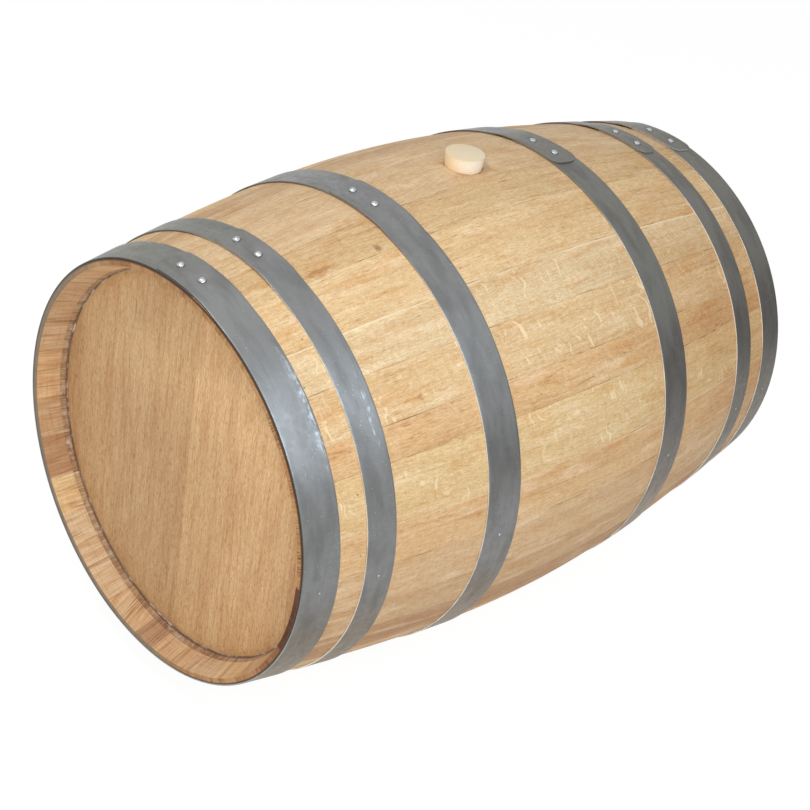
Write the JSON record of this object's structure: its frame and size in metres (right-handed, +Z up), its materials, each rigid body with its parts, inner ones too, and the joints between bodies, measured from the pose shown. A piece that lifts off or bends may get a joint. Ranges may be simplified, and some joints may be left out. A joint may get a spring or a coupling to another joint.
{
  "type": "whiskey barrel",
  "caption": "Oak whiskey barrel lying on its bilge, with bulged staves, riveted steel hoops, recessed flat heads and a tapered wooden bung that pulls out.",
  "frame": {"origin": "on the floor, under the middle of the bilge", "axes": "+X along the barrel towards its back head, +Z up through the bung"},
  "size_m": [0.92, 0.6564, 0.676],
  "materials": {
    "stave_oak": "planed oak",
    "head_oak": "planed oak",
    "hoop_steel": "matte galvanised steel",
    "rivet_steel": "galvanised steel",
    "bung_poplar": "turned poplar"
  },
  "bodies": {
    "barrel": {"bung_stave": "stave_oak", "stave_02": "stave_oak", "stave_03": "stave_oak", "stave_04": "stave_oak", "stave_05": "stave_oak", "stave_06": "stave_oak", "stave_07": "stave_oak", "stave_08": "stave_oak", "stave_09": "stave_oak", "stave_10": "stave_oak", "stave_11": "stave_oak", "stave_12": "stave_oak", "stave_13": "stave_oak", "stave_14": "stave_oak", "stave_15": "stave_oak", "stave_16": "stave_oak", "stave_17": "stave_oak", "stave_18": "stave_oak", "stave_19": "stave_oak", "stave_20": "stave_oak", "stave_21": "stave_oak", "stave_22": "stave_oak", "stave_23": "stave_oak", "stave_24": "stave_oak", "stave_25": "stave_oak", "stave_26": "stave_oak", "stave_27": "stave_oak", "stave_28": "stave_oak", "stave_29": "stave_oak", "stave_30": "stave_oak", "front_head_board_1": "head_oak", "front_head_board_2": "head_oak", "front_head_board_3": "head_oak", "front_head_board_4": "head_oak", "front_head_board_5": "head_oak", "back_head_board_1": "head_oak", "back_head_board_2": "head_oak", "back_head_board_3": "head_oak", "back_head_board_4": "head_oak", "back_head_board_5": "head_oak", "front_head_hoop": "hoop_steel", "front_quarter_hoop": "hoop_steel", "front_bilge_hoop": "hoop_steel", "back_head_hoop": "hoop_steel", "back_quarter_hoop": "hoop_steel", "back_bilge_hoop": "hoop_steel", "front_head_hoop_rivet_1": "rivet_steel", "front_head_hoop_rivet_2": "rivet_steel", "front_quarter_hoop_rivet_1": "rivet_steel", "front_quarter_hoop_rivet_2": "rivet_steel", "front_bilge_hoop_rivet_1": "rivet_steel", "front_bilge_hoop_rivet_2": "rivet_steel", "back_head_hoop_rivet_1": "rivet_steel", "back_head_hoop_rivet_2": "rivet_steel", "back_quarter_hoop_rivet_1": "rivet_steel", "back_quarter_hoop_rivet_2": "rivet_steel", "back_bilge_hoop_rivet_1": "rivet_steel", "back_bilge_hoop_rivet_2": "rivet_steel"},
    "bung": {"bung": "bung_poplar"}
  },
  "joints": [
    {"name": "bung_lift", "type": "slide", "parent": "barrel", "child": "bung", "axis": [0, 0, 1], "range_m": [0, 0.08]}
  ]
}
